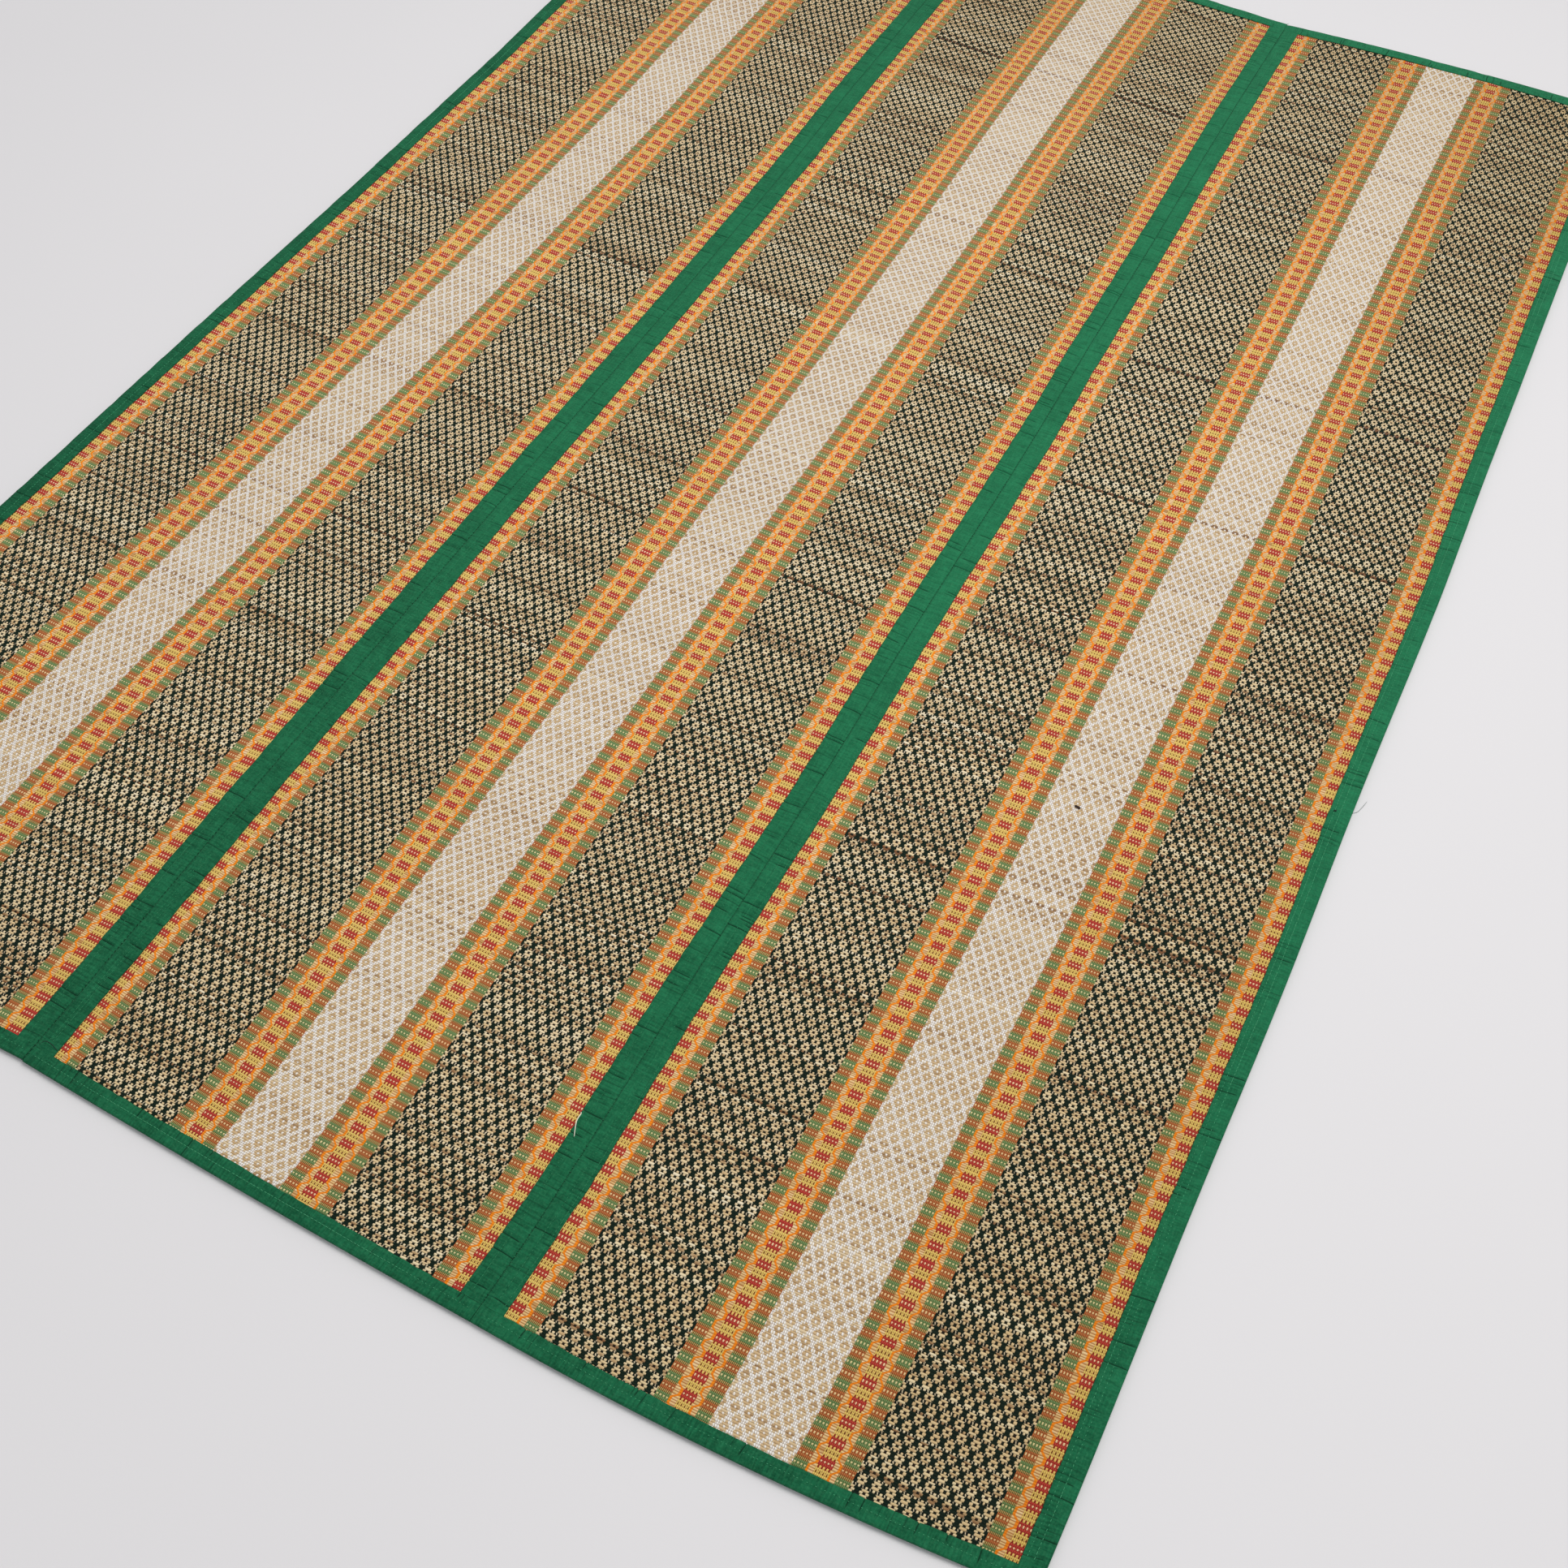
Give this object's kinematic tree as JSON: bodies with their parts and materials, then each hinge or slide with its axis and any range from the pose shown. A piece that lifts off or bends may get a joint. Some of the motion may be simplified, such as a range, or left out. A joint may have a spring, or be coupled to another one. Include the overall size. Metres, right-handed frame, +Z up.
{
  "type": "grass floor mat",
  "caption": "Rectangular woven grass floor mat with patterned bands, made of cloth-bound panels sewn edge to edge so that it folds flat; for sitting, eating or sleeping on.",
  "frame": {"origin": "on the floor under the middle of the mat's bounding box", "axes": "+X across the three panels, +Y along them, +Z up"},
  "size_m": [1.228, 1.8156, 0.0048],
  "materials": {
    "woven_grass": "grass stems crossed by dark green, white, orange, red, yellow, leaf green and brown cotton threads, slightly glossy",
    "green_cotton": "matt plain-weave cotton"
  },
  "bodies": {
    "root": {"left_grass_sheet": "woven_grass", "middle_grass_sheet": "woven_grass", "right_grass_sheet": "woven_grass", "left_sheet_left_binding": "green_cotton", "left_sheet_right_binding": "green_cotton", "left_sheet_near_binding": "green_cotton", "left_sheet_far_binding": "green_cotton", "middle_sheet_left_binding": "green_cotton", "middle_sheet_right_binding": "green_cotton", "middle_sheet_near_binding": "green_cotton", "middle_sheet_far_binding": "green_cotton", "right_sheet_left_binding": "green_cotton", "right_sheet_right_binding": "green_cotton", "right_sheet_near_binding": "green_cotton", "right_sheet_far_binding": "green_cotton"}
  },
  "joints": []
}
